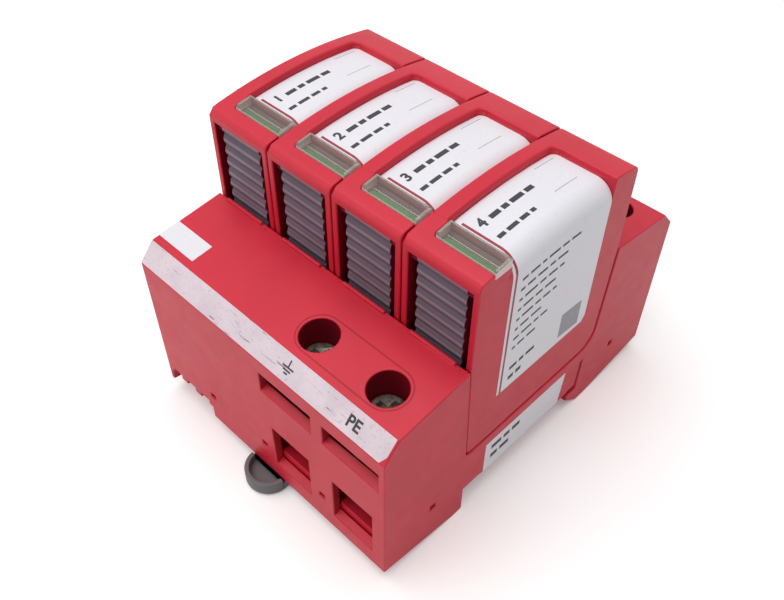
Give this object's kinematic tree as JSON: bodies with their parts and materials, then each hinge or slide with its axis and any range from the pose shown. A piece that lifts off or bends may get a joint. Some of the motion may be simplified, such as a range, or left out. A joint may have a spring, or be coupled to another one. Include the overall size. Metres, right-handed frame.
{
  "type": "din rail surge arrester",
  "caption": "Surge arrester for a DIN rail: a moulded red base with screw terminals that carries a row of plug-in modules, each with a status window and ribbed release levers.",
  "frame": {"origin": "middle of the rail seat, on the plane of the top of the rail", "axes": "+X along the rail, -Y towards the earth terminals and the rail clip, +Z away from the rail"},
  "size_m": [0.072, 0.0954, 0.071],
  "materials": {
    "red_housing": "satin moulded thermoplastic",
    "red_inner": "matt moulded thermoplastic",
    "clip_plastic": "matt moulded thermoplastic",
    "lever_plastic": "matt moulded thermoplastic",
    "clear_window": "clear polished",
    "flag_green": "matt coloured plastic",
    "zinc_steel": "zinc plated",
    "copper_strip": "rolled copper",
    "disc_coat": "dipped resin coat over a ceramic disc",
    "label_film": "printed white film"
  },
  "bodies": {
    "base": {"base_housing": "red_housing", "base_bottom": "red_inner", "pe_busbar": "copper_strip", "line_contact_1": "copper_strip", "line_contact_2": "copper_strip", "line_contact_3": "copper_strip", "line_contact_4": "copper_strip"},
    "rail_clip": {"rail_clip": "clip_plastic"},
    "pe_screw_1": {"pe_screw_1": "zinc_steel"},
    "pe_cage_1": {"pe_cage_1": "zinc_steel"},
    "pe_screw_2": {"pe_screw_2": "zinc_steel"},
    "pe_cage_2": {"pe_cage_2": "zinc_steel"},
    "line_screw_1": {"line_screw_1": "zinc_steel"},
    "line_cage_1": {"line_cage_1": "zinc_steel"},
    "line_screw_2": {"line_screw_2": "zinc_steel"},
    "line_cage_2": {"line_cage_2": "zinc_steel"},
    "line_screw_3": {"line_screw_3": "zinc_steel"},
    "line_cage_3": {"line_cage_3": "zinc_steel"},
    "line_screw_4": {"line_screw_4": "zinc_steel"},
    "line_cage_4": {"line_cage_4": "zinc_steel"},
    "module_1": {"module_1_housing": "red_housing", "module_1_bottom": "red_inner", "module_1_window": "clear_window", "module_1_varistor": "disc_coat", "module_1_blades": "copper_strip"},
    "module_1_flag": {"module_1_flag": "flag_green", "module_1_slider": "red_inner"},
    "module_1_front_button": {"module_1_front_button": "lever_plastic"},
    "module_1_rear_button": {"module_1_rear_button": "lever_plastic"},
    "module_2": {"module_2_housing": "red_housing", "module_2_bottom": "red_inner", "module_2_window": "clear_window", "module_2_varistor": "disc_coat", "module_2_blades": "copper_strip"},
    "module_2_flag": {"module_2_flag": "flag_green", "module_2_slider": "red_inner"},
    "module_2_front_button": {"module_2_front_button": "lever_plastic"},
    "module_2_rear_button": {"module_2_rear_button": "lever_plastic"},
    "module_3": {"module_3_housing": "red_housing", "module_3_bottom": "red_inner", "module_3_window": "clear_window", "module_3_varistor": "disc_coat", "module_3_blades": "copper_strip"},
    "module_3_flag": {"module_3_flag": "flag_green", "module_3_slider": "red_inner"},
    "module_3_front_button": {"module_3_front_button": "lever_plastic"},
    "module_3_rear_button": {"module_3_rear_button": "lever_plastic"},
    "module_4": {"module_4_housing": "red_housing", "module_4_bottom": "red_inner", "module_4_window": "clear_window", "module_4_varistor": "disc_coat", "module_4_blades": "copper_strip"},
    "module_4_flag": {"module_4_flag": "flag_green", "module_4_slider": "red_inner"},
    "module_4_front_button": {"module_4_front_button": "lever_plastic"},
    "module_4_rear_button": {"module_4_rear_button": "lever_plastic"}
  },
  "joints": [
    {"name": "rail_clip_pull", "type": "slide", "parent": "base", "child": "rail_clip", "axis": [0, -1, 0], "range_m": [0, 0.004], "stiffness_N_per_m": 400},
    {"name": "pe_screw_1_turn", "type": "hinge", "parent": "base", "child": "pe_screw_1", "pos_m": [0.009, -0.035, 0.0295], "axis": [0, 0, -1], "range_deg": [0, 3605]},
    {"name": "pe_cage_1_lift", "type": "slide", "parent": "base", "child": "pe_cage_1", "axis": [0, 0, 1], "range_m": [0, 0.008]},
    {"name": "pe_screw_2_turn", "type": "hinge", "parent": "base", "child": "pe_screw_2", "pos_m": [0.027, -0.035, 0.0295], "axis": [0, 0, -1], "range_deg": [0, 3605]},
    {"name": "pe_cage_2_lift", "type": "slide", "parent": "base", "child": "pe_cage_2", "axis": [0, 0, 1], "range_m": [0, 0.008]},
    {"name": "line_screw_1_turn", "type": "hinge", "parent": "base", "child": "line_screw_1", "pos_m": [-0.027, 0.035, 0.0295], "axis": [0, 0, -1], "range_deg": [0, 3605]},
    {"name": "line_cage_1_lift", "type": "slide", "parent": "base", "child": "line_cage_1", "axis": [0, 0, 1], "range_m": [0, 0.008]},
    {"name": "line_screw_2_turn", "type": "hinge", "parent": "base", "child": "line_screw_2", "pos_m": [-0.009, 0.035, 0.0295], "axis": [0, 0, -1], "range_deg": [0, 3605]},
    {"name": "line_cage_2_lift", "type": "slide", "parent": "base", "child": "line_cage_2", "axis": [0, 0, 1], "range_m": [0, 0.008]},
    {"name": "line_screw_3_turn", "type": "hinge", "parent": "base", "child": "line_screw_3", "pos_m": [0.009, 0.035, 0.0295], "axis": [0, 0, -1], "range_deg": [0, 3605]},
    {"name": "line_cage_3_lift", "type": "slide", "parent": "base", "child": "line_cage_3", "axis": [0, 0, 1], "range_m": [0, 0.008]},
    {"name": "line_screw_4_turn", "type": "hinge", "parent": "base", "child": "line_screw_4", "pos_m": [0.027, 0.035, 0.0295], "axis": [0, 0, -1], "range_deg": [0, 3605]},
    {"name": "line_cage_4_lift", "type": "slide", "parent": "base", "child": "line_cage_4", "axis": [0, 0, 1], "range_m": [0, 0.008]},
    {"name": "module_1_pull", "type": "slide", "parent": "base", "child": "module_1", "axis": [0, 0, 1], "range_m": [0, 0.036]},
    {"name": "module_1_flag_shift", "type": "slide", "parent": "module_1", "child": "module_1_flag", "axis": [0, 1, 0], "range_m": [0, 0.0014]},
    {"name": "module_1_front_button_press", "type": "hinge", "parent": "module_1", "child": "module_1_front_button", "pos_m": [-0.027, -0.02095, 0.0576], "axis": [1, 0, 0], "range_deg": [0, 5], "stiffness_Nm_per_rad": 0.05},
    {"name": "module_1_rear_button_press", "type": "hinge", "parent": "module_1", "child": "module_1_rear_button", "pos_m": [-0.027, 0.02095, 0.0576], "axis": [-1, 0, 0], "range_deg": [0, 5], "stiffness_Nm_per_rad": 0.05},
    {"name": "module_2_pull", "type": "slide", "parent": "base", "child": "module_2", "axis": [0, 0, 1], "range_m": [0, 0.036]},
    {"name": "module_2_flag_shift", "type": "slide", "parent": "module_2", "child": "module_2_flag", "axis": [0, 1, 0], "range_m": [0, 0.0014]},
    {"name": "module_2_front_button_press", "type": "hinge", "parent": "module_2", "child": "module_2_front_button", "pos_m": [-0.009, -0.02095, 0.0576], "axis": [1, 0, 0], "range_deg": [0, 5], "stiffness_Nm_per_rad": 0.05},
    {"name": "module_2_rear_button_press", "type": "hinge", "parent": "module_2", "child": "module_2_rear_button", "pos_m": [-0.009, 0.02095, 0.0576], "axis": [-1, 0, 0], "range_deg": [0, 5], "stiffness_Nm_per_rad": 0.05},
    {"name": "module_3_pull", "type": "slide", "parent": "base", "child": "module_3", "axis": [0, 0, 1], "range_m": [0, 0.036]},
    {"name": "module_3_flag_shift", "type": "slide", "parent": "module_3", "child": "module_3_flag", "axis": [0, 1, 0], "range_m": [0, 0.0014]},
    {"name": "module_3_front_button_press", "type": "hinge", "parent": "module_3", "child": "module_3_front_button", "pos_m": [0.009, -0.02095, 0.0576], "axis": [1, 0, 0], "range_deg": [0, 5], "stiffness_Nm_per_rad": 0.05},
    {"name": "module_3_rear_button_press", "type": "hinge", "parent": "module_3", "child": "module_3_rear_button", "pos_m": [0.009, 0.02095, 0.0576], "axis": [-1, 0, 0], "range_deg": [0, 5], "stiffness_Nm_per_rad": 0.05},
    {"name": "module_4_pull", "type": "slide", "parent": "base", "child": "module_4", "axis": [0, 0, 1], "range_m": [0, 0.036]},
    {"name": "module_4_flag_shift", "type": "slide", "parent": "module_4", "child": "module_4_flag", "axis": [0, 1, 0], "range_m": [0, 0.0014]},
    {"name": "module_4_front_button_press", "type": "hinge", "parent": "module_4", "child": "module_4_front_button", "pos_m": [0.027, -0.02095, 0.0576], "axis": [1, 0, 0], "range_deg": [0, 5], "stiffness_Nm_per_rad": 0.05},
    {"name": "module_4_rear_button_press", "type": "hinge", "parent": "module_4", "child": "module_4_rear_button", "pos_m": [0.027, 0.02095, 0.0576], "axis": [-1, 0, 0], "range_deg": [0, 5], "stiffness_Nm_per_rad": 0.05}
  ],
  "couplings": [
    {"joint": "pe_screw_1_turn", "follows": "pe_cage_1_lift", "rad_per_m": 7854},
    {"joint": "pe_screw_2_turn", "follows": "pe_cage_2_lift", "rad_per_m": 7854},
    {"joint": "line_screw_1_turn", "follows": "line_cage_1_lift", "rad_per_m": 7854},
    {"joint": "line_screw_2_turn", "follows": "line_cage_2_lift", "rad_per_m": 7854},
    {"joint": "line_screw_3_turn", "follows": "line_cage_3_lift", "rad_per_m": 7854},
    {"joint": "line_screw_4_turn", "follows": "line_cage_4_lift", "rad_per_m": 7854}
  ]
}
